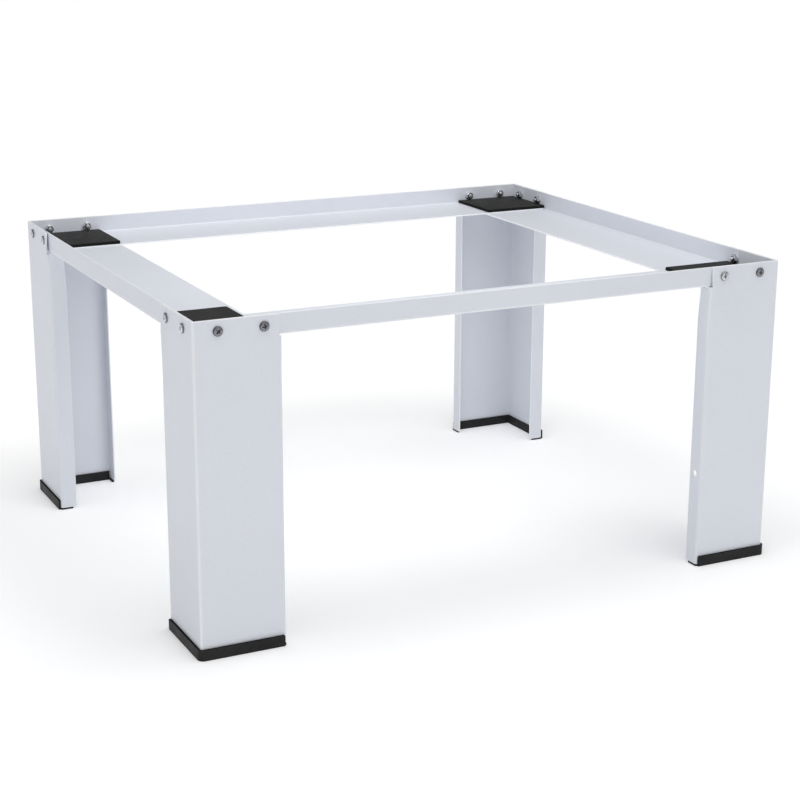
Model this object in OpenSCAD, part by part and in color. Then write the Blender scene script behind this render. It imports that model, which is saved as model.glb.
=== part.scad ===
// Low stand for a washing machine: four bent sheet-steel legs carry a ring of
// four angle rails, bolted at the corners, with rubber feet and rubber pads.
// Millimetres. Origin at the middle of the footprint on the floor,
// +X along the long front side, +Y towards the back, +Z up.

/* [Overall size] */
// Width over the rubber feet, left to right
overall_w = 640; // [560:5:700]
// Depth over the rubber feet, front to back
overall_d = 550; // [480:5:640]
// Height from the floor to the top of the frame
overall_h = 320; // [250:5:400]

/* [Sheet steel] */
// Thickness of the sheet in legs and rails
sheet_t = 1.5; // [1.2:0.1:1.8]
// Inside radius of every bend
bend_r = 1; // [0.8:0.1:1.2]

/* [Legs] */
// Width of each face of a leg, over its bends
leg_face = 85; // [80:1:95]
// Width of the return lip along each free edge, over its bend
leg_lip = 18; // [14:1:22]
// Height of the notch over the lip bend of the side faces
relief_h = 1.5; // [1:0.5:8]
// Gap between the top of the lips and the lowest shelf
lip_gap = 0.5; // [0.5:0.5:4]
// Diameter of the hole in the inner lip of each front leg
lip_hole_d = 6.5; // [5:0.5:9]
// Height of that hole above the floor
lip_hole_z = 100; // [60:5:180]
// Distance of that hole behind the front face of the leg
lip_hole_in = 10; // [8:0.5:11]

/* [Rails] */
// Height of the upright flange of the front and back rails
flange_h = 20; // [18:0.5:30]
// Width of the level shelf of every rail, from the outside of its flange
shelf_w = 83; // [70:1:90]

/* [Screws, washers and nuts] */
// Thread diameter of the screws
screw_d = 5; // [4:0.5:5]
// Length of the screws under the head
screw_len = 10; // [9:1:12]
// Diameter of the clearance holes in legs and rails
screw_hole_d = 5.5; // [5.5:0.1:6]
// Diameter of the pan heads
head_d = 9.4; // [8:0.2:10]
// Height of the pan heads
head_h = 2.4; // [1.8:0.1:2.4]
// Distance of the first screw from the outer corner of the leg
screw_in = 24; // [18:1:28]
// Distance between the two screws in one face
screw_gap = 44; // [36:1:48]
// Depth of the screws below the top of the frame
screw_drop = 10.3; // [9.5:0.1:10.4]
// Width of the nuts across flats
nut_af = 8; // [7:0.5:8]
// Height of the nuts
nut_h = 4; // [2.7:0.1:4]
// Diameter of the washers
washer_d = 9; // [8.5:0.5:9]
// Thickness of the washers
washer_t = 1; // [0.8:0.1:1.2]

/* [Rubber pads] */
// Side of the square pads
pad_size = 80; // [60:1:80]
// Thickness of the pads
pad_t = 3.5; // [2.5:0.1:3.5]
// Width of the front left pad, which is cut narrower than the others
left_pad_w = 71; // [60:1:80]
// How far back the front left pad sits from the front flange
pad_set_back = 26; // [0:1:30]

/* [Rubber feet] */
// Height of both walls of a foot above the floor
foot_h = 11; // [8:0.5:16]
// Thickness of the sole under the sheet edge
sole_t = 2; // [1.5:0.5:4]
// Thickness of the outer wall
foot_out = 2.5; // [2.5:0.5:4]
// Thickness of the inner wall
foot_in = 2; // [1.5:0.5:3]
// Outside corner radius of a foot, seen from above
foot_r = 6; // [4:0.5:8]
// Reach of the sole under the return lips
tab_reach = 14; // [8:1:16]
// Length of the outer wall along each leg face, from the leg corner
foot_arm = 83; // [80:0.5:85]

/* [Hidden] */
$fn = 48;

t = sheet_t;
ri = bend_r;
ro = bend_r + sheet_t;              // outside radius of a bend
eps = 0.01;

leg_x = overall_w / 2 - foot_out;   // outer faces of the legs
leg_y = overall_d / 2 - foot_out;
rail_x = leg_x - t;                 // outer faces of the rails, flat inside the legs
rail_y = leg_y - t;

shelf_z = overall_h - flange_h;     // underside of the front and back shelves
side_z = shelf_z - t;               // underside of the side shelves, one sheet lower
side_flange_h = overall_h - side_z;
pad_z = shelf_z + t;                // top of the front and back shelves
lip_top = side_z - lip_gap;
screw_z = overall_h - screw_drop;
grip = 2 * t;                       // leg sheet plus rail flange under each head

steel_col = [0.83, 0.84, 0.87];
rubber_col = [0.10, 0.10, 0.11];
zinc_col = [0.62, 0.63, 0.66];
washer_col = [0.78, 0.79, 0.81];

// ---------------------------------------------------------------- flat shapes

// One quarter of a bend, seen along it, in the first quadrant of its centre
module quarter_bend(inner, outer) {
  intersection() {
    difference() {
      circle(r = outer);
      circle(r = inner);
    }
    square(outer + 1);
  }
}

// A rectangle from the origin with a rounded corner at the origin
module corner_block(sx, sy, r) {
  translate([r, 0]) square([sx - r, sy]);
  translate([0, r]) square([sx, sy - r]);
  translate([r, r]) circle(r = r);
}

// The two faces of a leg with the bend between them, corner at the origin
module leg_faces_2d() {
  translate([ro, ro]) rotate(180) quarter_bend(ri, ro);
  translate([ro, 0]) square([leg_face - 2 * ro, t]);
  translate([0, ro]) square([t, leg_face - 2 * ro]);
}

// The bend to the return lip of the face along X, and of the face along Y
module bend_x_2d() {
  translate([leg_face - ro, ro]) rotate(270) quarter_bend(ri, ro);
}
module bend_y_2d() {
  translate([ro, leg_face - ro]) rotate(90) quarter_bend(ri, ro);
}

// The flat part of the two return lips
module leg_lips_2d() {
  translate([leg_face - t, ro]) square([t, leg_lip - ro]);
  translate([ro, leg_face - t]) square([leg_lip - ro, t]);
}

// Section of a rail: flange up, shelf inwards, outside of the bend at the origin
module flange_2d(h) {
  translate([0, ro]) square([t, h - ro]);
}
module shelf_2d() {
  translate([ro, ro]) rotate(180) quarter_bend(ri, ro);
  translate([ro, 0]) square([shelf_w - ro, t]);
}

// ---------------------------------------------------------------- placing

// Places a front left corner piece at any corner of the stand:
// its origin goes to the outer corner of the leg, on the floor
module at_corner(sx, sy) {
  translate([sx * leg_x, sy * leg_y, 0])
    mirror([sx > 0 ? 1 : 0, 0, 0])
      mirror([0, sy > 0 ? 1 : 0, 0])
        children();
}

// Repeats a fastener at the four screw positions of a corner.
// Its own +Z points out of the leg, and z = 0 is the leg's outer face.
module at_screws() {
  for (i = [0, 1]) {
    translate([screw_in + i * screw_gap, 0, screw_z]) rotate([90, 0, 0]) children();
    translate([0, screw_in + i * screw_gap, screw_z]) rotate([0, -90, 0]) children();
  }
}

// ---------------------------------------------------------------- sheet-steel parts

module leg(hole) {
  color(steel_col)
    difference() {
      union() {
        translate([0, 0, sole_t]) linear_extrude(overall_h - sole_t) leg_faces_2d();
        // up to just under the front or back shelf, beside the end of the side shelf
        translate([0, 0, sole_t]) linear_extrude(shelf_z - lip_gap - sole_t) bend_x_2d();
        translate([0, 0, sole_t]) linear_extrude(lip_top - relief_h - sole_t) bend_y_2d();
        translate([0, 0, sole_t]) linear_extrude(lip_top - sole_t) leg_lips_2d();
      }
      for (i = [0, 1]) {
        translate([screw_in + i * screw_gap, t + 1, screw_z])
          rotate([90, 0, 0]) cylinder(h = t + 2, d = screw_hole_d);
        translate([-1, screw_in + i * screw_gap, screw_z])
          rotate([0, 90, 0]) cylinder(h = t + 2, d = screw_hole_d);
      }
      if (hole)
        translate([leg_face - t - 1, lip_hole_in, lip_hole_z])
          rotate([0, 90, 0]) cylinder(h = t + 2, d = lip_hole_d);
    }
}

// A rail along X, flange outside at y = 0, shelf towards +Y, underside at z = 0
module rail(flange_len, shelf_len, h, holes) {
  color(steel_col)
    difference() {
      rotate([90, 0, 90]) {
        translate([0, 0, -flange_len / 2]) linear_extrude(flange_len) flange_2d(h);
        translate([0, 0, -shelf_len / 2]) linear_extrude(shelf_len) shelf_2d();
      }
      for (x = holes, s = [-1, 1])
        translate([s * x, t + 1, h - screw_drop])
          rotate([90, 0, 0]) cylinder(h = t + 2, d = screw_hole_d);
    }
}

module long_rail() {
  rail(2 * (rail_x - ri), 2 * (rail_x - t - ri - 0.5), flange_h,
       [leg_x - screw_in, leg_x - screw_in - screw_gap]);
}
module side_rail() {
  rail(2 * (rail_y - t), 2 * (rail_y - t), side_flange_h,
       [leg_y - screw_in, leg_y - screw_in - screw_gap]);
}

module front_rail() { translate([0, -rail_y, shelf_z]) long_rail(); }
module back_rail() { mirror([0, 1, 0]) front_rail(); }
module left_rail() { translate([-rail_x, 0, side_z]) rotate([0, 0, -90]) side_rail(); }
module right_rail() { mirror([1, 0, 0]) left_rail(); }

module front_left_leg() { at_corner(-1, -1) leg(true); }
module front_right_leg() { at_corner(1, -1) leg(true); }
module back_left_leg() { at_corner(-1, 1) leg(false); }
module back_right_leg() { at_corner(1, 1) leg(false); }

// ---------------------------------------------------------------- rubber parts

// Angle-shaped channel that the bottom edge of a leg stands in
module foot() {
  color(rubber_col) {
    // sole, with a tab under each return lip
    linear_extrude(sole_t) {
      difference() {
        translate([-foot_out, -foot_out])
          corner_block(foot_arm + foot_out, foot_arm + foot_out, foot_r);
        translate([t + foot_in, t + foot_in]) square(2 * leg_face);
      }
      translate([leg_face - t - foot_in, 0]) square([t + foot_in, tab_reach]);
      translate([0, leg_face - t - foot_in]) square([tab_reach, t + foot_in]);
    }
    // outer wall
    linear_extrude(foot_h)
      difference() {
        translate([-foot_out, -foot_out])
          corner_block(foot_arm + foot_out, foot_arm + foot_out, foot_r);
        corner_block(2 * leg_face, 2 * leg_face, ro);
      }
    // inner wall, between the two lips
    linear_extrude(foot_h)
      difference() {
        translate([t, t]) corner_block(leg_face - ro - 0.5 - t, leg_face - ro - 0.5 - t, ri);
        translate([t + foot_in, t + foot_in]) square(2 * leg_face);
      }
  }
}

module front_left_foot() { at_corner(-1, -1) foot(); }
module front_right_foot() { at_corner(1, -1) foot(); }
module back_left_foot() { at_corner(-1, 1) foot(); }
module back_right_foot() { at_corner(1, 1) foot(); }

// Pad in the corner of the frame, on top of the shelves
module pad(width, set_back) {
  color(rubber_col)
    translate([grip, grip + set_back, pad_z])
      cube([width, pad_size, pad_t]);
}

module front_left_pad() { at_corner(-1, -1) pad(left_pad_w, pad_set_back); }
module front_right_pad() { at_corner(1, -1) pad(pad_size, 0); }
module back_left_pad() { at_corner(-1, 1) pad(pad_size, 0); }
module back_right_pad() { at_corner(1, 1) pad(pad_size, 0); }

// ---------------------------------------------------------------- fasteners

// Pan head screw with a cross recess
module screw() {
  rim = head_h * 0.45;
  dome = head_h - rim;
  ball = (head_d * head_d / 4 + dome * dome) / (2 * dome);
  color(zinc_col)
    difference() {
      union() {
        translate([0, 0, -screw_len]) cylinder(h = screw_len, d = screw_d);
        cylinder(h = rim, d = head_d);
        intersection() {
          translate([0, 0, head_h - ball]) sphere(r = ball, $fn = 96);
          translate([0, 0, rim - eps]) cylinder(h = dome + 1, d = head_d);
        }
      }
      for (a = [45, 135])
        rotate(a) translate([-2.6, -0.55, head_h - 1.5]) cube([5.2, 1.1, 2]);
    }
}

module washer() {
  color(washer_col)
    translate([0, 0, -grip - washer_t])
      difference() {
        cylinder(h = washer_t, d = washer_d);
        translate([0, 0, -1]) cylinder(h = washer_t + 2, d = screw_d + 0.3);
      }
}

// Hexagon nut with its corners turned down at both ends
module nut() {
  corner = nut_af / sqrt(3);
  c = corner - nut_af / 2;
  color(zinc_col)
    translate([0, 0, -grip - washer_t - nut_h])
      difference() {
        intersection() {
          cylinder(h = nut_h, r = corner, $fn = 6);
          rotate_extrude()
            polygon([[0, 0], [nut_af / 2 - 0.1, 0], [corner, 0.6 * c + 0.1],
                     [corner, nut_h - 0.6 * c - 0.1], [nut_af / 2 - 0.1, nut_h], [0, nut_h]]);
        }
        translate([0, 0, -1]) cylinder(h = nut_h + 2, d = screw_d + 0.1);
      }
}

module corner_screws(sx, sy) { at_corner(sx, sy) at_screws() screw(); }
module corner_washers(sx, sy) { at_corner(sx, sy) at_screws() washer(); }
module corner_nuts(sx, sy) { at_corner(sx, sy) at_screws() nut(); }

module front_left_screws() { corner_screws(-1, -1); }
module front_right_screws() { corner_screws(1, -1); }
module back_left_screws() { corner_screws(-1, 1); }
module back_right_screws() { corner_screws(1, 1); }

module front_left_washers() { corner_washers(-1, -1); }
module front_right_washers() { corner_washers(1, -1); }
module back_left_washers() { corner_washers(-1, 1); }
module back_right_washers() { corner_washers(1, 1); }

module front_left_nuts() { corner_nuts(-1, -1); }
module front_right_nuts() { corner_nuts(1, -1); }
module back_left_nuts() { corner_nuts(-1, 1); }
module back_right_nuts() { corner_nuts(1, 1); }

// ---------------------------------------------------------------- assembly

front_rail();
back_rail();
left_rail();
right_rail();
front_left_leg();
front_right_leg();
back_left_leg();
back_right_leg();
front_left_foot();
front_right_foot();
back_left_foot();
back_right_foot();
front_left_pad();
front_right_pad();
back_left_pad();
back_right_pad();
front_left_screws();
front_right_screws();
back_left_screws();
back_right_screws();
front_left_washers();
front_right_washers();
back_left_washers();
back_right_washers();
front_left_nuts();
front_right_nuts();
back_left_nuts();
back_right_nuts();
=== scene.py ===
import math

import bmesh
import bpy
import numpy as np
from mathutils import Matrix, Vector
from mathutils.geometry import delaunay_2d_cdt, tessellate_polygon


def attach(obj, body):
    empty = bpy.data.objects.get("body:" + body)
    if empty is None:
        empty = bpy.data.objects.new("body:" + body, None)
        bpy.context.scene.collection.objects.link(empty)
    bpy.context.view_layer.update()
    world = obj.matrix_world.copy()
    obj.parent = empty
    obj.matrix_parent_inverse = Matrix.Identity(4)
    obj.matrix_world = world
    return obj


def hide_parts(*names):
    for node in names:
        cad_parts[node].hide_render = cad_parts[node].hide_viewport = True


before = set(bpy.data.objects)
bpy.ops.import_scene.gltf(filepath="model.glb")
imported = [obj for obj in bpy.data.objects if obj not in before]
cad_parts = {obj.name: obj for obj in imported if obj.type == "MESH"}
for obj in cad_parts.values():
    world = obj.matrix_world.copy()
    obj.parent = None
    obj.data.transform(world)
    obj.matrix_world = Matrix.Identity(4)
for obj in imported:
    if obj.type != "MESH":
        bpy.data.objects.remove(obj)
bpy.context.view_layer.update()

# ------------------------------------------------------------------ sizes, in millimetres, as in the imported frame
MM = 0.001
T = 1.5            # sheet
RI = 1.0           # inside bend radius
RO = RI + T        # outside bend radius
LEG_X, LEG_Y = 317.5, 272.5
RAIL_X, RAIL_Y = LEG_X - T, LEG_Y - T
TOP = 320.0
FACE, LIP = 85.0, 18.0
LIP_TOP, BEND_X_TOP, BEND_Y_TOP = 298.0, 299.5, 296.5
SHELF_Z, SIDE_Z = 300.0, 298.5
SHELF_W = 83.0
SCREW_IN, SCREW_GAP, SCREW_Z = 24.0, 44.0, 309.7
GRIP = 2 * T
PAD, PAD_T, PAD_Z = 80.0, 3.5, 301.5
CORNERS = {
    "front_left": (-1, -1),
    "front_right": (1, -1),
    "back_left": (-1, 1),
    "back_right": (1, 1),
}


# ------------------------------------------------------------------ small helpers
def smooth(mesh, angle=None):
    mesh.polygons.foreach_set("use_smooth", [True] * len(mesh.polygons))
    if angle is not None:
        mesh.set_sharp_from_angle(angle=math.radians(angle))
    mesh.update()


def new_object(name, mesh, material):
    o = bpy.data.objects.new(name, mesh)
    bpy.context.scene.collection.objects.link(o)
    mesh.materials.clear()
    mesh.materials.append(material)
    return o


def mesh_from(name, verts, faces, edge=None):
    """A mesh in metres from points in millimetres, with a float attribute of painted highlight and shade where it is
    given.
    """
    m = bpy.data.meshes.new(name)
    m.from_pydata([tuple(float(c) * MM for c in v) for v in verts], [], faces)
    m.validate()
    b = bmesh.new()
    b.from_mesh(m)
    bmesh.ops.recalc_face_normals(b, faces=b.faces)
    b.to_mesh(m)
    b.free()
    if edge is not None:
        a = m.attributes.new("edge", "FLOAT", "POINT")
        a.data.foreach_set("value", np.asarray(edge, np.float32))
    return m


def take(obj):
    """The object's mesh with its modifiers applied, and the object removed."""
    bpy.context.view_layer.update()
    dg = bpy.context.evaluated_depsgraph_get()
    m = bpy.data.meshes.new_from_object(obj.evaluated_get(dg), depsgraph=dg)
    bpy.data.objects.remove(obj)
    return m


def boolean(mesh, cutter, operation):
    """mesh with another mesh taken away, added, or kept in common."""
    a = bpy.data.objects.new("work_a", mesh)
    c = bpy.data.objects.new("work_b", cutter)
    for o in (a, c):
        bpy.context.scene.collection.objects.link(o)
    mod = a.modifiers.new("cut", "BOOLEAN")
    mod.operation, mod.solver, mod.object = operation, "EXACT", c
    m = take(a)
    bpy.data.objects.remove(c)
    return m


def bevelled(mesh, width, segments, angle):
    a = bpy.data.objects.new("work_c", mesh)
    bpy.context.scene.collection.objects.link(a)
    mod = a.modifiers.new("round", "BEVEL")
    mod.width, mod.segments = width * MM, segments
    mod.limit_method, mod.angle_limit = "ANGLE", math.radians(angle)
    mod.miter_outer = "MITER_ARC"
    mod.use_clamp_overlap = True
    return take(a)


def placed(name, meshes):
    """One mesh out of several (mesh, 4x4 matrix in metres, tone). The tone, a painted brightness standing in for light,
    goes where the mesh's own is below 0.
    """
    b = bmesh.new()
    for mesh, matrix, tone in meshes:
        part = mesh.copy()
        part.transform(matrix)
        a = part.attributes.get("tone")
        if a is not None:
            values = np.empty(len(part.vertices), np.float32)
            a.data.foreach_get("value", values)
            a.data.foreach_set("value", np.where(values < 0, tone, values).astype(np.float32))
        b.from_mesh(part)
        bpy.data.meshes.remove(part)
    m = bpy.data.meshes.new(name)
    b.to_mesh(m)
    b.free()
    return m


# ------------------------------------------------------------------ flat patterns and bends
def loop_of(corners, arc=4):
    """Closed outline with rounded corners: [(u, v, radius)] with the sheet on its left -> [(point, normal into the sheet)]."""
    out, n = [], len(corners)
    for i, (pu, pv, r) in enumerate(corners):
        p = np.array([pu, pv], float)
        a, b = np.array(corners[i - 1][:2], float), np.array(corners[(i + 1) % n][:2], float)
        d0, d1 = (p - a) / np.linalg.norm(p - a), (b - p) / np.linalg.norm(b - p)
        turn = math.atan2(d0[0] * d1[1] - d0[1] * d1[0], float(d0 @ d1))
        n0 = np.array([-d0[1], d0[0]])
        start = p - d0 * r * math.tan(abs(turn) / 2)
        s = 1 if turn > 0 else -1
        centre = start + s * n0 * r
        for k in range(arc + 1):
            t = turn * k / arc
            nk = np.array([n0[0] * math.cos(t) - n0[1] * math.sin(t), n0[0] * math.sin(t) + n0[1] * math.cos(t)])
            out.append((centre - s * nk * r, nk))
    return out


def hole_of(u, v, r, steps=32):
    """A round hole: it runs the other way round, so that the sheet is on its left again."""
    out = []
    for k in range(steps):
        a = -2 * math.pi * k / steps
        d = np.array([math.cos(a), math.sin(a)])
        out.append((np.array([u, v]) + d * r, d))
    return out


def cut_loop(loop, us, vs):
    """Adds points where the straight sides of an outline cross the lines u = ... and v = ..."""
    out, n = [], len(loop)
    for i, (p, nn) in enumerate(loop):
        q, nq = loop[(i + 1) % n]
        out.append((p, nn))
        if float(nn @ nq) < 1 - 1e-9:
            continue
        stops = set()
        for axis, values in ((0, us), (1, vs)):
            lo, hi = sorted((p[axis], q[axis]))
            if hi - lo > 1e-6:
                stops |= {round((c - p[axis]) / (q[axis] - p[axis]), 9) for c in values if lo + 0.3 < c < hi - 0.3}
        for s in sorted(stops):
            out.append((p + (q - p) * s, nn))
    return out


def inside(points, loops):
    """Which points lie in the sheet: inside the outline and outside the holes."""
    hit = np.zeros(len(points), bool)
    for loop in loops:
        a = np.array(loop)
        b = np.roll(a, -1, axis=0)
        for (x0, y0), (x1, y1) in zip(a, b):
            if y0 == y1:
                continue
            straddle = (points[:, 1] > min(y0, y1)) & (points[:, 1] <= max(y0, y1))
            x = x0 + (points[:, 1] - y0) * (x1 - x0) / (y1 - y0)
            hit ^= straddle & (points[:, 0] < x)
    return hit


def clearance(points, loops):
    """Distance from each point to the nearest side of the outlines."""
    best = np.full(len(points), 1e9)
    for loop in loops:
        a = np.array(loop)
        b = np.roll(a, -1, axis=0)
        for p, q in zip(a, b):
            d = q - p
            t = np.clip(((points - p) @ d) / max(float(d @ d), 1e-12), 0, 1)
            best = np.minimum(best, np.linalg.norm(points - (p + t[:, None] * d), axis=1))
    return best


def sheet_mesh(name, outline, holes, bends, to_3d, thick, u_step, v_step, round_r=0.4, arc=3, bend_steps=6, push=None,
               glow=(1.0, 1.0), edge_at=None, bend_glow=None):
    """A bent sheet with rounded edges, built from its flat pattern.
    outline: [(u, v, corner radius)]; holes: [(u, v, r)]; bends: [(u0, u1)]; to_3d(u, v, w) -> point, w from 0 outside
    to thick inside.
    push(point, u, v) may move a point a little. glow: how strongly the bends take the painted highlight and shade
    (outside, inside);
    edge_at(u, v) gives the same for the cut edges, and bend_glow a share for each bend."""
    pad = round_r + 0.35
    us_all = [c[0] for c in outline]
    u_lo, u_hi = min(us_all), max(us_all)
    vs_all = [c[1] for c in outline]
    v_lo, v_hi = min(vs_all), max(vs_all)
    lines = []
    for a, b in bends:
        lines += [a - pad] + [a + (b - a) * k / bend_steps for k in range(bend_steps + 1)] + [b + pad]
    grid_u, stops = [], sorted([u_lo] + [c for a, b in bends for c in (a, b)] + [u_hi])
    for a, b in zip(stops[::2], stops[1::2]):
        k = max(1, round((b - a) / u_step))
        grid_u += [a + (b - a) * i / k for i in range(1, k)]
    k = max(1, round((v_hi - v_lo) / v_step))
    grid_v = [v_lo + (v_hi - v_lo) * i / k for i in range(1, k)]
    cuts = sorted(lines + grid_u)
    loops = [cut_loop(loop_of(outline), cuts, grid_v)] + [hole_of(*h) for h in holes]

    # the rings that lead round the edge of the sheet, from the outside face to the inside one
    rings = [(pad, 0.0)]
    rings += [(round_r * (1 - math.sin(x)), round_r * (1 - math.cos(x))) for x in np.linspace(0, math.pi / 2, arc + 1)]
    rings += [(i, thick - w) for i, w in reversed(rings)]

    # points inside the innermost ring
    support = [[p + n * pad for p, n in loop] for loop in loops]
    pts = np.array([(u, v) for u in cuts for v in grid_v])
    keep = inside(pts, support) & (clearance(pts, support) > 0.8)
    pts = pts[keep]

    flat = [p for loop in support for p in loop]
    n_ring = len(flat)
    edges, start = [], 0
    for loop in support:
        m = len(loop)
        edges += [(start + i, start + (i + 1) % m) for i in range(m)]
        start += m
    allp = np.array(flat + [p for p in pts])
    outer = np.array(support[0])
    mid = (v_lo + v_hi) / 2
    for c in lines:
        col = [n_ring + i for i in np.nonzero(np.abs(pts[:, 0] - c) < 1e-6)[0]]
        col.sort(key=lambda i: allp[i][1])
        ends = []
        for low in (True, False):
            side = [i for i in range(len(outer)) if (outer[i][1] < mid) == low]
            near = min(abs(outer[i][0] - c) for i in side)
            side = [i for i in side if abs(outer[i][0] - c) < near + 0.02]
            ends.append(min(side, key=lambda i: abs(outer[i][1] - mid)))
        chain = [ends[0]] + [i for i in col if allp[ends[0]][1] < allp[i][1] < allp[ends[1]][1]] + [ends[1]]
        edges += list(zip(chain, chain[1:]))
    ov, _, of, orig, _, _ = delaunay_2d_cdt([Vector(p) for p in allp], edges, [], 1, 1e-7, True)
    if len(ov) != len(allp) or any(len(x) != 1 for x in orig):
        raise RuntimeError(f"{name}: the flat pattern's lines cross ({len(allp)} points in, {len(ov)} out)")
    index = [x[0] for x in orig]
    tris = [[index[i] for i in f] for f in of]
    centres = np.array([allp[t].mean(0) for t in tris])
    ok = inside(centres, support)
    tris = [t for t, k in zip(tris, ok) if k]

    verts, edge = [], []

    def add(p, w, e):
        x = np.array(to_3d(float(p[0]), float(p[1]), w), float)
        if push is not None:
            x = push(x, float(p[0]), float(p[1]))
        verts.append(x)
        edge.append(e)

    def bend_share(u):
        for (a, b), share in zip(bends, bend_glow or [1.0] * len(bends)):
            if a - 1e-6 <= u <= b + 1e-6:
                return share * min(1.0, 2.2 * min(u - a, b - u) / (b - a) * 2)
        return 0.0

    ring_start = []
    for r, (inset, w) in enumerate(rings):
        rows = []
        for loop in loops:
            rows.append(len(verts))
            for p, n in loop:
                q = p + n * inset
                if r == 0:
                    e = bend_share(q[0]) * glow[0]
                elif r == len(rings) - 1:
                    e = bend_share(q[0]) * glow[1]
                else:
                    e = edge_at(q[0], q[1]) if edge_at else 1.0
                add(q, w, e)
        ring_start.append(rows)
    inner = {}
    for side, w in ((0, 0.0), (1, thick)):
        inner[side] = len(verts)
        for p in pts:
            add(p, w, bend_share(p[0]) * glow[side])

    faces = []
    for li, loop in enumerate(loops):
        m = len(loop)
        for r in range(len(rings) - 1):
            a, b = ring_start[r][li], ring_start[r + 1][li]
            faces += [(a + i, a + (i + 1) % m, b + (i + 1) % m, b + i) for i in range(m)]
    sizes = np.cumsum([0] + [len(loop) for loop in loops])
    for side, r in ((0, 0), (1, len(rings) - 1)):
        def at(i):
            if i >= n_ring:
                return inner[side] + i - n_ring
            li = int(np.searchsorted(sizes, i, side="right") - 1)
            return ring_start[r][li] + i - int(sizes[li])
        faces += [tuple(at(i) for i in (t if side == 0 else t[::-1])) for t in tris]
    m = mesh_from(name, verts, faces, edge)
    b = bmesh.new()
    b.from_mesh(m)
    bmesh.ops.join_triangles(
        b, faces=[f for f in b.faces if len(f.verts) == 3], angle_face_threshold=math.radians(1),
        angle_shape_threshold=math.radians(30), cmp_seam=False, cmp_sharp=False, cmp_uvs=False, cmp_vcols=False, cmp_materials=False)
    b.to_mesh(m)
    b.free()
    smooth(m)
    return m


class Path:
    """The outside face of a bent sheet, seen along its bends. side is the way it turns: 1 to the left, -1 to the right."""

    def __init__(self, start, heading, steps, side, radius):
        self.parts, self.bends, u = [], [], 0.0
        p, h = np.array(start, float), math.radians(heading)
        for kind, size in steps:
            d = np.array([math.cos(h), math.sin(h)])
            n = side * np.array([-d[1], d[0]])
            if kind == "line":
                self.parts.append((u, u + size, "line", p.copy(), d, n, 0.0))
                p = p + d * size
                u += size
            else:
                a = math.radians(size)
                c = p + n * radius
                self.parts.append((u, u + a * radius, "arc", c, n, None, a))
                self.bends.append((u, u + a * radius))
                u += a * radius
                h += side * a
                p = c - side * np.array([-math.sin(h), math.cos(h)]) * radius
        self.side, self.radius, self.length = side, radius, u

    def at(self, u, w):
        for u0, u1, kind, p, d, n, a in self.parts:
            if u <= u1 + 1e-9 or u1 == self.length:
                break
        if kind == "line":
            return p + d * (u - u0) + n * w
        t = self.side * (u - u0) / self.radius
        n = np.array([d[0] * math.cos(t) - d[1] * math.sin(t), d[0] * math.sin(t) + d[1] * math.cos(t)])
        return p - n * (self.radius - w)


# ------------------------------------------------------------------ materials
def tree(name):
    m = bpy.data.materials.new(name)
    m.use_nodes = True
    nt = m.node_tree
    b = nt.nodes["Principled BSDF"]
    return m, nt, b


def noise(nt, scale, detail=3.0, rough=0.5, stretch=None):
    co = nt.nodes.new("ShaderNodeTexCoord")
    n = nt.nodes.new("ShaderNodeTexNoise")
    n.inputs["Scale"].default_value = scale
    n.inputs["Detail"].default_value = detail
    n.inputs["Roughness"].default_value = rough
    if stretch:
        mp = nt.nodes.new("ShaderNodeMapping")
        mp.inputs["Scale"].default_value = stretch
        nt.links.new(co.outputs["Object"], mp.inputs["Vector"])
        nt.links.new(mp.outputs["Vector"], n.inputs["Vector"])
    else:
        nt.links.new(co.outputs["Object"], n.inputs["Vector"])
    return n.outputs["Fac"]


def ramp(nt, fac, stops):
    r = nt.nodes.new("ShaderNodeValToRGB")
    e = r.color_ramp.elements
    while len(e) < len(stops):
        e.new(0.5)
    for k, (pos, col) in enumerate(stops):
        e[k].position = pos
        e[k].color = (*col, 1)
    nt.links.new(fac, r.inputs["Fac"])
    return r.outputs["Color"]


def mapped(nt, fac, lo, hi, from_lo=0.0, from_hi=1.0):
    r = nt.nodes.new("ShaderNodeMapRange")
    for k, v in (("From Min", from_lo), ("From Max", from_hi), ("To Min", lo), ("To Max", hi)):
        r.inputs[k].default_value = v
    nt.links.new(fac, r.inputs["Value"])
    return r.outputs["Result"]


def mixed(nt, fac, a, b, mode="MIX"):
    """fac, a and b are sockets; a or b may be a colour."""
    x = nt.nodes.new("ShaderNodeMix")
    x.data_type, x.blend_type = "RGBA", mode
    for value, socket in ((fac, x.inputs[0]), (a, x.inputs[6]), (b, x.inputs[7])):
        if isinstance(value, bpy.types.NodeSocket):
            nt.links.new(value, socket)
        elif isinstance(value, tuple):
            socket.default_value = (*value, 1)
        else:
            socket.default_value = value
    return x.outputs[2]


def bump(nt, height, strength, distance, after=None):
    b = nt.nodes.new("ShaderNodeBump")
    b.inputs["Strength"].default_value = strength
    b.inputs["Distance"].default_value = distance
    nt.links.new(height, b.inputs["Height"])
    if after is not None:
        nt.links.new(after, b.inputs["Normal"])
    return b.outputs["Normal"]


def attribute(nt, name):
    a = nt.nodes.new("ShaderNodeAttribute")
    a.attribute_name = name
    return a.outputs["Fac"]


COAT = (0.765, 0.790, 0.852)


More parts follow.
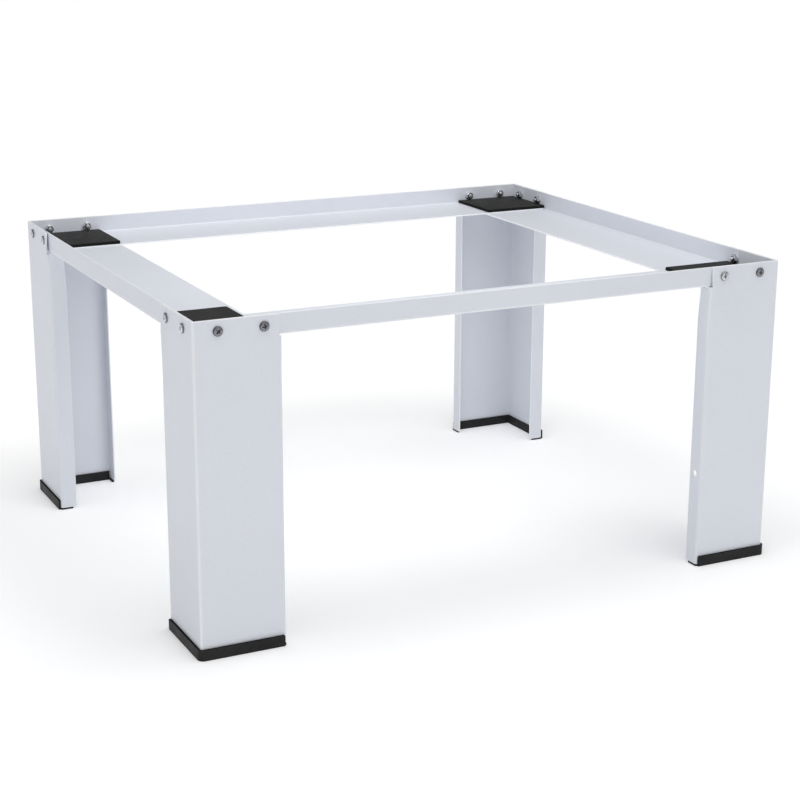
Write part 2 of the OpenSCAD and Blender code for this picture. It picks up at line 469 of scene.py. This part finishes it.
def powder_coat():
    m, nt, b = tree("powder_coat")
    tone = ramp(nt, noise(nt, 5.0, 2.0), [(0.35, tuple(c * 0.985 for c in COAT)), (0.65, tuple(min(1, c * 1.012) for c in COAT))])
    speck = ramp(nt, noise(nt, 900.0, 2.0), [(0.30, (0.955, 0.955, 0.955)), (0.62, (1.0, 1.0, 1.0))])
    col = mixed(nt, 1.0, tone, speck, "MULTIPLY")
    # painted highlight: bends and cut edges are mixed towards near-white where the painted light and shade attribute is
    # high
    col = mixed(nt, mapped(nt, attribute(nt, "edge"), 0.0, 0.75), col, (0.93, 0.94, 0.955))
    nt.links.new(col, b.inputs["Base Color"])
    rough = mapped(nt, noise(nt, 60.0, 3.0), 0.36, 0.46, 0.3, 0.7)
    nt.links.new(rough, b.inputs["Roughness"])
    b.inputs["Specular IOR Level"].default_value = 0.5
    b.inputs["IOR"].default_value = 1.48
    peel = bump(nt, noise(nt, 330.0, 2.0, 0.45), 0.10, 0.0004)
    fine = bump(nt, noise(nt, 1500.0, 2.0, 0.6), 0.05, 0.0001, peel)
    nt.links.new(fine, b.inputs["Normal"])
    return m


def rubber(name, base, dusty, rough, grain, edge_dark, shine):
    m, nt, b = tree(name)
    col = ramp(nt, noise(nt, 45.0, 4.0, 0.6, (1.0, 0.35, 1.0)), [(0.35, base), (0.75, dusty)])
    speck = ramp(nt, noise(nt, 1100.0, 2.0), [(0.35, (0.75, 0.75, 0.75)), (0.65, (1.0, 1.0, 1.0))])
    col = mixed(nt, 1.0, col, speck, "MULTIPLY")
    # painted shade: where the painted light and shade attribute is high, the rubber is darkened to about a third of its
    # colour and made matt
    col = mixed(nt, mapped(nt, attribute(nt, "edge"), 0.0, edge_dark), col, tuple(c * 0.35 for c in base))
    nt.links.new(col, b.inputs["Base Color"])
    gloss = mapped(nt, noise(nt, 90.0, 3.0), rough - 0.05, rough + 0.07, 0.3, 0.7)
    nt.links.new(mixed(nt, attribute(nt, "edge"), gloss, (0.95, 0.95, 0.95)), b.inputs["Roughness"])
    b.inputs["IOR"].default_value = 1.5
    b.inputs["Specular IOR Level"].default_value = shine
    v = nt.nodes.new("ShaderNodeTexVoronoi")
    v.inputs["Scale"].default_value = grain
    co = nt.nodes.new("ShaderNodeTexCoord")
    nt.links.new(co.outputs["Object"], v.inputs["Vector"])
    n1 = bump(nt, v.outputs["Distance"], 0.22, 0.0002)
    n2 = bump(nt, noise(nt, grain * 2.5, 3.0), 0.15, 0.0001, n1)
    nt.links.new(n2, b.inputs["Normal"])
    return m


def metal(name, base, dark, rough, scratch=(1.0, 1.0, 1.0), painted_lit_colour=None):
    """The optional last argument is a painted lit colour, used where the attribute "tone" is 1."""
    m, nt, b = tree(name)
    b.inputs["Metallic"].default_value = 1.0
    col = ramp(nt, noise(nt, 700.0, 4.0, 0.6), [(0.3, dark), (0.7, base)])
    # painted light: where the attribute "tone" is high the colour is mixed towards a painted lit colour
    if painted_lit_colour:
        col = mixed(nt, attribute(nt, "tone"), col, painted_lit_colour)
    # painted shade: the painted light and shade attribute darkens the metal towards near-black
    low = mixed(nt, mapped(nt, attribute(nt, "edge"), 0.0, 0.85), col, tuple(c * 0.12 for c in dark))
    nt.links.new(low, b.inputs["Base Color"])
    nt.links.new(mapped(nt, noise(nt, 1600.0, 3.0, 0.5, scratch), rough - 0.06, rough + 0.10, 0.3, 0.7), b.inputs["Roughness"])
    nt.links.new(bump(nt, noise(nt, 2600.0, 3.0, 0.6, scratch), 0.12, 0.00005), b.inputs["Normal"])
    return m


M_COAT = powder_coat()
M_FOOT = rubber("foot_rubber", (0.022, 0.022, 0.023), (0.033, 0.033, 0.034), 0.46, 1500.0, 0.85, 0.10)
M_PAD = rubber("pad_rubber", (0.016, 0.016, 0.016), (0.027, 0.027, 0.026), 0.62, 1100.0, 0.8, 0.25)
M_SCREW = metal("screw_steel", (0.26, 0.26, 0.28), (0.16, 0.16, 0.18), 0.26, painted_lit_colour=(0.70, 0.71, 0.73))
M_WASHER = metal("washer_steel", (0.86, 0.87, 0.89), (0.70, 0.71, 0.74), 0.24)
M_NUT = metal("nut_steel", (0.84, 0.85, 0.87), (0.66, 0.67, 0.70), 0.15)


# ------------------------------------------------------------------ fitting pieces to the frame
def add_piece(node, mesh, material):
    o = new_object(node + "_finish", mesh, material)
    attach(o, "root")
    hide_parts(node)
    return o


def corner_point(sx, sy, x, y, z):
    """A point given from the outer corner of a leg, in the frame."""
    return (sx * (LEG_X - x), sy * (LEG_Y - y), z)


# ------------------------------------------------------------------ legs
LEG_PATH = Path((FACE, LIP), -90, [("line", LIP - RO), ("arc", 90), ("line", FACE - 2 * RO), ("arc", 90),
                                   ("line", FACE - 2 * RO), ("arc", 90), ("line", LIP - RO)], -1, RO)


def leg_mesh(name, sx, sy, hole, flare):
    """flare: for the face along X and the face along Y, how far its free edge stands off the rail, in mm, and the share of it left at the top."""
    (a0, a1), (b0, b1), (c0, c1) = LEG_PATH.bends
    end = LEG_PATH.length
    outline = [
        (0, 2, 1.0), (end, 2, 1.0), (end, LIP_TOP, 2.0), (c1, LIP_TOP, 0.8), (c1, BEND_Y_TOP, 0.4), (c0, BEND_Y_TOP, 0.4),
        (c0, TOP, 1.0), (a1, TOP, 1.0), (a1, BEND_X_TOP, 0.4), (a0, BEND_X_TOP, 0.8), (a0, LIP_TOP, 0.5), (0, LIP_TOP, 2.0),
    ]
    holes = []
    for i in (0, 1):
        d = SCREW_IN + i * SCREW_GAP
        holes += [(a1 + FACE - RO - d, SCREW_Z, 2.75), (b1 + d - RO, SCREW_Z, 2.75)]
    if hole:
        holes.append((LIP - 10.0, 100.0, 3.25))

    def push(p, u, v):
        # p is still in the leg's own corner coordinates
        for side, (amount, keep) in enumerate(flare):
            if side == 0 and u < a1 + 16 and v > 262:
                across = 1 - max(0.0, (u - a1) / 16.0)
            elif side == 1 and u > c0 - 16 and v > 262:
                across = 1 - max(0.0, (c0 - u) / 16.0)
            else:
                continue
            across = across * across * (3 - 2 * across)
            along = (v - 262) / 33.0 if v < 295 else 1 - (1 - keep) * (v - 295.0) / (TOP - 295.0)
            along = along * along * (3 - 2 * along) if v < 295 else along
            p = p.copy()
            p[1 - side if side == 0 else 0] -= amount * across * along
        return p

    def to_3d(u, v, w):
        x, y = LEG_PATH.at(u, w)
        return (x, y, v)

    # the cut edges carry the painted highlight, but not in the band beside the rails, which lies in shade
    def edge_at(u, v):
        return 0.0 if BEND_Y_TOP - 1 < v < TOP - 2 else 1.0

    # the outside of the bends, the corner bend most, carries the painted highlight; the inside does not
    m = sheet_mesh(name, outline, holes, LEG_PATH.bends, to_3d, T, 10.0, 14.0, push=push, glow=(0.8, 0.0), edge_at=edge_at,
                   bend_glow=(0.2, 1.0, 0.2))
    b = bmesh.new()
    b.from_mesh(m)
    for v in b.verts:
        v.co = Vector(corner_point(sx, sy, v.co.x / MM, v.co.y / MM, v.co.z / MM)) * MM
    bmesh.ops.recalc_face_normals(b, faces=b.faces)
    b.to_mesh(m)
    b.free()
    smooth(m)
    return m


FLARE = {
    "front_left": ((0.5, 0.0), (0.7, 0.1)), "front_right": ((2.3, 0.05), (0.5, 0.0)),
    "back_left": ((0.5, 0.0), (1.9, 0.7)), "back_right": ((0.6, 0.0), (0.5, 0.0)),
}
for corner, (sx, sy) in CORNERS.items():
    node = corner + "_leg"
    add_piece(node, leg_mesh(node + "_sheet", sx, sy, sy < 0, FLARE[corner]), M_COAT)


# ------------------------------------------------------------------ rails
def rail_mesh(name, height, half_flange, half_shelf, screw_at, place):
    path = Path((0, height), -90, [("line", height - RO), ("arc", 90), ("line", SHELF_W - RO)], 1, RO)
    (b0, b1), end = path.bends[0], path.length
    if half_flange > half_shelf:
        outline = [(0, -half_flange, 1.0), (b0, -half_flange, 1.0), (b0, -half_shelf, 0.5), (end, -half_shelf, 2.5),
                   (end, half_shelf, 2.5), (b0, half_shelf, 0.5), (b0, half_flange, 1.0), (0, half_flange, 1.0)]
    else:
        outline = [(0, -half_flange, 1.0), (end, -half_flange, 2.5), (end, half_flange, 2.5), (0, half_flange, 1.0)]
    holes = [(10.3, s * x, 2.75) for x in screw_at for s in (-1, 1)]

    def to_3d(u, v, w):
        y, z = path.at(u, w)
        return place(y, v, z)

    # the bends, inside and out, and the cut edges carry the painted highlight
    return sheet_mesh(name, outline, holes, path.bends, to_3d, T, 10.0, 15.0, glow=(0.6, 0.9))


LONG = [LEG_X - SCREW_IN, LEG_X - SCREW_IN - SCREW_GAP]
SIDE = [LEG_Y - SCREW_IN, LEG_Y - SCREW_IN - SCREW_GAP]
for node, height, flange, shelf, screws, place in (
    ("front_rail", 20.0, 315.0, 313.0, LONG, lambda y, v, z: (v, y - RAIL_Y, z + SHELF_Z)),
    ("back_rail", 20.0, 315.0, 313.0, LONG, lambda y, v, z: (v, RAIL_Y - y, z + SHELF_Z)),
    ("left_rail", 21.5, 269.5, 269.5, SIDE, lambda y, v, z: (y - RAIL_X, v, z + SIDE_Z)),
    ("right_rail", 21.5, 269.5, 269.5, SIDE, lambda y, v, z: (RAIL_X - y, v, z + SIDE_Z)),
):
    add_piece(node, rail_mesh(node + "_sheet", height, flange, shelf, screws, place), M_COAT)


# ------------------------------------------------------------------ rubber feet
def plan_prism(points, z0, z1):
    """An upright solid on an outline, which may be concave."""
    n = len(points)
    verts = [(x, y, z0) for x, y in points] + [(x, y, z1) for x, y in points]
    faces = []
    for t in tessellate_polygon([[Vector((x, y, 0.0)) for x, y in points]]):
        faces += [tuple(reversed(t)), tuple(n + i for i in t)]
    faces += [(i, (i + 1) % n, n + (i + 1) % n, n + i) for i in range(n)]
    return mesh_from("prism", verts, faces)


def rounded(corners, arc=8):
    """Outline with rounded corners, as points: [(x, y, radius)], anticlockwise."""
    out = []
    for p, _ in loop_of([(x, y, max(r, 1e-4)) for x, y, r in corners], arc):
        if not out or np.linalg.norm(p - out[-1]) > 1e-3:
            out.append(p)
    if np.linalg.norm(out[0] - out[-1]) < 1e-3:
        out.pop()
    return [(float(p[0]), float(p[1])) for p in out]


def dissolved(mesh):
    """The mesh with its flat faces joined up."""
    b = bmesh.new()
    b.from_mesh(mesh)
    bmesh.ops.remove_doubles(b, verts=b.verts, dist=1e-7)
    bmesh.ops.dissolve_limit(b, angle_limit=math.radians(0.5), verts=b.verts, edges=b.edges)
    b.to_mesh(mesh)
    b.free()
    return mesh


FOOT_ARM, FOOT_H, SOLE, GROOVE = 83.0, 11.0, 2.0, 0.3


def foot_template():
    """A foot in its own corner coordinates. The outer wall stands off the sheet, which leaves a groove on top; the
    wall's top is painted dark as shade.
    """
    o, f, arm = 2.5, FACE, FOOT_ARM
    outer = rounded([(-o, -o, 6.0), (arm, -o, 0), (arm, -GROOVE, 0), (-GROOVE, -GROOVE, 2.8), (-GROOVE, arm, 0), (-o, arm, 0)])
    inner = rounded([(1.6, 1.6, 1.0), (82.0, 1.6, 0), (82.0, 3.5, 0), (3.5, 3.5, 0.6), (3.5, 82.0, 0), (1.6, 82.0, 0)])
    # the sole's long edges end inside the walls, which reach down to the floor
    i, w, e = 3.0, -1.6, arm - 0.4
    sole = rounded([(w, w, 5.1), (e, w, 0), (e, 0, 0), (f, 0, 0.6), (f, 14.0, 1.0), (81.5, 14.0, 1.0), (81.5, i, 0),
                    (i, i, 0.3), (i, 81.5, 0), (14.0, 81.5, 1.0), (14.0, f, 1.0), (0, f, 0.6), (0, e, 0), (w, e, 0)])
    m = boolean(plan_prism(sole, 0.0, SOLE), plan_prism(outer, 0.0, FOOT_H), "UNION")
    m = dissolved(boolean(m, plan_prism(inner, 0.0, FOOT_H - 0.2), "UNION"))
    b = bmesh.new()
    b.from_mesh(m)

    def sharp(low):
        out = []
        for e in b.edges:
            if len(e.link_faces) == 2 and e.calc_face_angle() > math.radians(40):
                bottom = max(v.co.z for v in e.verts) < 0.1 * MM
                if bottom == low:
                    out.append(e)
        return out

    # the top corner at the end of each arm is rounder
    ends = [e for e in b.edges
            if all(v.co.z > (FOOT_H - 0.05) * MM and max(v.co.x, v.co.y) > (arm - 0.05) * MM and min(v.co.x, v.co.y) < 0.5 * MM for v in e.verts)]
    bmesh.ops.bevel(b, geom=ends, offset=1.3 * MM, segments=5, profile=0.5, affect="EDGES", clamp_overlap=True)
    for low, width, segments in ((True, 0.9, 4), (False, 0.45, 3)):
        bmesh.ops.bevel(b, geom=sharp(low), offset=width * MM, segments=segments, profile=0.5, affect="EDGES", clamp_overlap=True)
    bmesh.ops.recalc_face_normals(b, faces=b.faces)
    b.to_mesh(m)
    b.free()
    # painted shade: dark on the top of the outer wall, and only on the faces that look up
    m.update()
    top = [0.0] * len(m.vertices)
    for f in m.polygons:
        if f.normal.z > 0.9 and f.center.z > (FOOT_H - 0.3) * MM and min(f.center.x, f.center.y) < 0.5 * MM:
            for i in f.vertices:
                top[i] = 1.0
    a = m.attributes.get("edge") or m.attributes.new("edge", "FLOAT", "POINT")
    a.data.foreach_set("value", np.asarray(top, np.float32))
    return m


FOOT = foot_template()


def foot_mesh(name, sx, sy):
    m = FOOT.copy()
    m.name = name
    b = bmesh.new()
    b.from_mesh(m)
    for v in b.verts:
        v.co = Vector(corner_point(sx, sy, v.co.x / MM, v.co.y / MM, v.co.z / MM)) * MM
    bmesh.ops.recalc_face_normals(b, faces=b.faces)
    b.to_mesh(m)
    b.free()
    smooth(m, 32)
    o = bpy.data.objects.new("work_d", m)
    bpy.context.scene.collection.objects.link(o)
    mod = o.modifiers.new("flat", "WEIGHTED_NORMAL")
    mod.mode, mod.weight, mod.keep_sharp = "FACE_AREA", 100, True
    m = take(o)
    m.name = name
    return m


for corner, (sx, sy) in CORNERS.items():
    node = corner + "_foot"
    add_piece(node, foot_mesh(node + "_rubber", sx, sy), M_FOOT)


# ------------------------------------------------------------------ rubber pads
def pad_mesh(name, sx, sy, width, back):
    lo = GRIP
    rng = np.random.default_rng(11 + 3 * (sx > 0) + 5 * (sy > 0))
    lift = rng.uniform(0.0, 0.35, 4)
    outline = [(0, 0, 2.0), (width, 0, 2.0), (width, PAD, 2.0), (0, PAD, 2.0)]

    def to_3d(u, v, w):
        return (lo + u, lo + back + v, PAD_Z + PAD_T - w)

    def push(p, u, v):
        # a moulded rubber sheet is never quite flat: its rim is a trace lower and each corner differs a little
        s, t = u / width, v / PAD
        rim = min(u, v, width - u, PAD - v)
        p = p.copy()
        if p[2] > PAD_Z + 1.2:
            p[2] -= 0.18 * max(0.0, 1 - rim / 5.0)
            corner = lift[0] * (1 - s) * (1 - t) + lift[1] * s * (1 - t) + lift[2] * s * t + lift[3] * (1 - s) * t
            p[2] -= 0.25 * corner + 0.05 * math.sin(9 * s + 2 * t) * math.sin(7 * t)
        return p

    # the pad's rounded rim carries the painted shade, which the rubber material darkens
    m = sheet_mesh(name, outline, [], [], to_3d, PAD_T, 5.0, 5.0, round_r=0.7, arc=4, push=push)
    b = bmesh.new()
    b.from_mesh(m)
    for v in b.verts:
        v.co = Vector(corner_point(sx, sy, v.co.x / MM, v.co.y / MM, v.co.z / MM)) * MM
    bmesh.ops.recalc_face_normals(b, faces=b.faces)
    b.to_mesh(m)
    b.free()
    smooth(m)
    return m


for corner, (sx, sy) in CORNERS.items():
    node = corner + "_pad"
    width, back = (71.0, 26.0) if corner == "front_left" else (PAD, 0.0)
    o = add_piece(node, pad_mesh(node + "_rubber", sx, sy, width, back), M_PAD)


# ------------------------------------------------------------------ fasteners
def lathe(profile, steps=40, radius_at=None):
    """Closed solid of revolution: profile [(r, z)] from one end of the axis to the other, or a closed ring if it never meets the axis."""
    ring = profile[0][0] > 1e-9
    verts, rows = [], []
    for r, z in profile:
        if r < 1e-9:
            rows.append([len(verts)] * steps)
            verts.append((0, 0, z))
        else:
            rows.append(list(range(len(verts), len(verts) + steps)))
            for k in range(steps):
                a = 2 * math.pi * k / steps
                q = radius_at(r, z, a) if radius_at else r
                verts.append((q * math.cos(a), q * math.sin(a), z))
    faces = []
    pairs = list(zip(rows, rows[1:])) + ([(rows[-1], rows[0])] if ring else [])
    for a, b in pairs:
        for k in range(steps):
            j = (k + 1) % steps
            f = []
            for i in (a[k], a[j], b[j], b[k]):
                if i not in f:
                    f.append(i)
            faces.append(tuple(f))
    return mesh_from("lathe", verts, faces)


def screw_template():
    head_r, head_h, flat, rim = 4.7, 2.4, 3.2, 0.85

    def crown(r):
        return head_h - 0.26 * (r / flat) ** 2

    prof = [(0, head_h)] + [(flat * k / 6, crown(flat * k / 6)) for k in range(1, 7)]
    for k in range(1, 9):
        a = math.radians(9 + 81 * k / 8)
        prof.append((flat - 0.2 + (head_r - flat + 0.2) * math.sin(a), rim + (crown(flat) - rim) * math.cos(a)))
    prof += [(4.7, 0.25), (4.66, 0.1), (4.55, 0.02), (2.9, 0.0), (2.45, -0.1)]
    pitch, z, top = 0.8, -0.2, []
    while z > -9.5:
        top.append((2.5, z))
        z -= pitch / 6
    prof += top + [(2.2, -9.6), (1.9, -9.95), (1.2, -10.0), (0, -10.0)]

    def radius(r, z, a):
        if r != 2.5:
            return r
        phase = (z / pitch + a / (2 * math.pi)) % 1.0
        tooth = 1 - abs(2 * phase - 1)
        depth = 0.42 * min(1.0, max(0.0, (-0.2 - z) / 1.2)) if z > -1.4 else 0.42
        if z < -8.9:
            depth = 0.42
        r_here = 2.5 - depth * (1 - tooth)
        return min(r_here, 2.5 - max(0.0, -8.9 - z) * 0.45)

    body = lathe(prof, 24 * 2, radius)

    def blade(angle):
        w0, w1, l0, l1 = 0.62, 0.40, 2.75, 1.35
        top_z, low_z, high_z = head_h, 0.55, 3.2
        k = (high_z - low_z) / (top_z - low_z)
        wt, lt = w1 + (w0 - w1) * k, l1 + (l0 - l1) * k
        c, s = math.cos(angle), math.sin(angle)
        pts = [(-l1, -w1, low_z), (l1, -w1, low_z), (l1, w1, low_z), (-l1, w1, low_z),
               (-lt, -wt, high_z), (lt, -wt, high_z), (lt, wt, high_z), (-lt, wt, high_z)]
        pts = [(x * c - y * s, x * s + y * c, z) for x, y, z in pts]
        return mesh_from("blade", pts, [(0, 3, 2, 1), (4, 5, 6, 7), (0, 1, 5, 4), (1, 2, 6, 5), (2, 3, 7, 6), (3, 0, 4, 7)])

    cross = boolean(blade(0.0), blade(math.pi / 2), "UNION")
    cone = lathe([(0, 0.25), (0.45, 0.45), (1.75, 3.2), (0, 3.2)], 24)
    cross = boolean(cross, cone, "UNION")
    m = boolean(body, cross, "DIFFERENCE")
    b = bmesh.new()
    b.from_mesh(m)
    bmesh.ops.remove_doubles(b, verts=b.verts, dist=2e-6)
    bmesh.ops.dissolve_degenerate(b, dist=2e-6, edges=b.edges)
    b.to_mesh(m)
    b.free()
    # painted shade: darker down in the recess, round the rim and along the shank; painted highlight: the tip of the
    # thread is bright, and each head's brightness is set per screw
    dark, tone = [], []
    for v in m.vertices:
        r, z = math.hypot(v.co.x, v.co.y) / MM, v.co.z / MM
        if r < 3.1 and z > 0.2:
            dark.append(0.5 * min(1.0, max(0.0, (crown(r) - z - 0.12) / 0.9)))
        else:
            dark.append(0.75 * min(1.0, max(0.0, (r - 3.9) / 0.6)) if z > 0 else 0.4 if z > -9.3 else 0.0)
        tone.append(-1.0 if z > -0.15 else 1.0 if z < -8.9 else 0.3)
    for key, values in (("edge", dark), ("tone", tone)):
        a = m.attributes.get(key) or m.attributes.new(key, "FLOAT", "POINT")
        a.data.foreach_set("value", np.asarray(values, np.float32))
    smooth(m, 38)
    return m


def washer_template():
    ro, ri, t, c = 4.5, 2.65, 1.0, 0.16
    pts = []
    for (r, z, s) in ((ri, 0, -135), (ro, 0, -45), (ro, t, 45), (ri, t, 135)):
        cx, cz = r + (c if r == ri else -c), z + (c if z == 0 else -c)
        for d in (-45, -15, 15, 45):
            a = math.radians(s + d)
            pts.append((cx + c * math.cos(a), cz + c * math.sin(a)))
    m = lathe([(r, z - GRIP - t) for r, z in pts], 40)
    smooth(m, 50)
    return m


def nut_template():
    af, h = 8.0, 4.0
    corner = af / math.sqrt(3)
    c = corner - af / 2
    hexagon = [(corner * math.cos(math.radians(60 * k)), corner * math.sin(math.radians(60 * k))) for k in range(6)]
    m = plan_prism(hexagon, 0.0, h)
    m = bevelled(m, 0.12, 2, 50)
    crown = lathe([(0, -0.001), (af / 2 - 0.1, -0.001), (corner + 0.05, 0.62 * c + 0.1), (corner + 0.05, h - 0.62 * c - 0.1),
                   (af / 2 - 0.1, h + 0.001), (0, h + 0.001)], 72)
    m = boolean(m, crown, "INTERSECT")
    bore = lathe([(0, -0.5), (3.25, -0.5), (2.56, 0.42), (2.56, h - 0.42), (3.25, h + 0.5), (0, h + 0.5)], 40)
    m = boolean(m, bore, "DIFFERENCE")
    b = bmesh.new()
    b.from_mesh(m)
    bmesh.ops.remove_doubles(b, verts=b.verts, dist=2e-6)
    bmesh.ops.dissolve_degenerate(b, dist=2e-6, edges=b.edges)
    b.to_mesh(m)
    b.free()
    # painted shade: dark in the bore and its chamfers, and a little on the flats
    dark = []
    for v in m.vertices:
        r, z = math.hypot(v.co.x, v.co.y) / MM, v.co.z / MM
        dark.append(1.0 if r < 3.0 else 0.7 if r < 3.4 else 0.5 if r > 4.1 and 0.4 < z < h - 0.4 else 0.0)
    m.transform(Matrix.Translation((0, 0, (-GRIP - 1.0 - h) * MM)))
    a = m.attributes.get("edge") or m.attributes.new("edge", "FLOAT", "POINT")
    a.data.foreach_set("value", np.asarray(dark, np.float32))
    smooth(m, 28)
    return m


SCREW, WASHER, NUT = screw_template(), washer_template(), nut_template()
turns = np.random.default_rng(7)
# painted light: how bright each screw head is painted, in the face along X and in the face along Y, first at the corner
PAINTED_HEAD_LIGHT = {
    "front_left": (0.05, 0.95, 0.05, 0.85), "front_right": (0.12, 0.5, 0.8, 0.4),
    "back_left": (0.4, 0.8, 0.3, 0.9), "back_right": (0.3, 0.5, 0.4, 0.3),
}


def seats(sx, sy):
    """Place and outward direction of the four screws of a corner."""
    for i in (0, 1):
        d = SCREW_IN + i * SCREW_GAP
        yield (sx * (LEG_X - d), sy * LEG_Y, SCREW_Z), (0, sy, 0)
        yield (sx * LEG_X, sy * (LEG_Y - d), SCREW_Z), (sx, 0, 0)


def turned(at, out, angle):
    z = Vector(out)
    x = Vector((0, 0, 1)).cross(z).normalized()
    y = z.cross(x)
    m = Matrix((x, y, z)).transposed().to_4x4()
    return Matrix.Translation(Vector(at) * MM) @ m @ Matrix.Rotation(angle, 4, "Z")


for corner, (sx, sy) in CORNERS.items():
    for kind, template, material, slot in (
        ("screws", SCREW, M_SCREW, "screw_steel"),
        ("washers", WASHER, M_WASHER, "washer_steel"),
        ("nuts", NUT, M_NUT, "nut_steel"),
    ):
        node = f"{corner}_{kind}"
        spots = [(template, turned(at, out, turns.uniform(0, 2 * math.pi)), tone) for (at, out), tone in zip(seats(sx, sy), PAINTED_HEAD_LIGHT[corner])]
        add_piece(node, placed(node + "_metal", spots), material)


# ------------------------------------------------------------------ floor, light and camera
def floor_material():
    """A white sweep that glows a little, more so away from the stand."""
    m, nt, b = tree("studio_floor")
    nt.links.new(ramp(nt, noise(nt, 1.5, 2.0), [(0.3, (0.90, 0.90, 0.90)), (0.7, (0.91, 0.91, 0.91))]), b.inputs["Base Color"])
    b.inputs["Roughness"].default_value = 0.9
    b.inputs["Specular IOR Level"].default_value = 0.1
    co = nt.nodes.new("ShaderNodeTexCoord")
    far = nt.nodes.new("ShaderNodeVectorMath")
    far.operation = "LENGTH"
    nt.links.new(co.outputs["Object"], far.inputs[0])
    b.inputs["Emission Color"].default_value = (1, 1, 1, 1)
    nt.links.new(mapped(nt, far.outputs["Value"], 0.27, 0.38, 0.42, 0.60), b.inputs["Emission Strength"])
    return m


floor_mesh = bpy.data.meshes.new("studio_floor")
floor_mesh.from_pydata([(-40, -40, 0), (40, -40, 0), (40, 40, 0), (-40, 40, 0)], [], [(0, 1, 2, 3)])
floor = new_object("studio_floor", floor_mesh, floor_material())

scene = bpy.context.scene
world = bpy.data.worlds.new("studio")
scene.world = world
world.use_nodes = True
background = world.node_tree.nodes["Background"]
background.inputs["Color"].default_value = (0.98, 0.99, 1.0, 1)
# dim as a light, and white above the horizon in a low view
rays = world.node_tree.nodes.new("ShaderNodeLightPath")
world.node_tree.links.new(mapped(world.node_tree, rays.outputs["Is Camera Ray"], 0.28, 1.03), background.inputs["Strength"])


def sun(name, towards, strength, angle, colour=(1, 1, 1)):
    """A soft light far away. towards: the direction from the object to the light."""
    d = bpy.data.lights.new(name, "SUN")
    d.energy, d.angle, d.color = strength, math.radians(angle), colour
    o = bpy.data.objects.new(name, d)
    o.rotation_mode = "QUATERNION"
    o.rotation_quaternion = Vector(towards).to_track_quat("Z", "Y")
    scene.collection.objects.link(o)
    return o


def softbox(name, at, size, power, aim=(0.0, 0.27, 0.31)):
    """A square lamp near the stand, aimed at the back rail."""
    d = bpy.data.lights.new(name, "AREA")
    d.shape, d.size, d.energy = "SQUARE", size, power
    o = bpy.data.objects.new(name, d)
    o.location = at
    o.rotation_mode = "QUATERNION"
    o.rotation_quaternion = (Vector(at) - Vector(aim)).to_track_quat("Z", "Y")
    o.visible_camera = False
    scene.collection.objects.link(o)
    return o


sun("top_light", (0.05, -0.15, 1.0), 1.06, 60)
sun("front_light", (0.25, -1.0, 0.55), 0.35, 60)
sun("left_light", (-1.0, -0.1, 0.45), 0.30, 60)
softbox("near_light", (-0.03, -0.20, 0.75), 0.4, 1.36)

cam_data = bpy.data.cameras.new("camera")
cam = bpy.data.objects.new("camera", cam_data)
scene.collection.objects.link(cam)
scene.camera = cam
cam_data.sensor_width = 36.0
cam_data.lens = 36.0 * 1781.09 / 800.0
cam_data.clip_start, cam_data.clip_end = 0.05, 200.0
cam_data.shift_x = -0.0016
right = Vector((0.896421, -0.443185, 0.003978))
down = Vector((-0.118850, -0.249022, -0.961178))
ahead = Vector((0.426971, 0.861147, -0.275901))
cam.matrix_world = Matrix((right, -down, -ahead)).transposed().to_4x4()
cam.location = (-0.823541, -1.704941, 0.683615)

scene.view_settings.view_transform = "Standard"
scene.view_settings.look = "None"
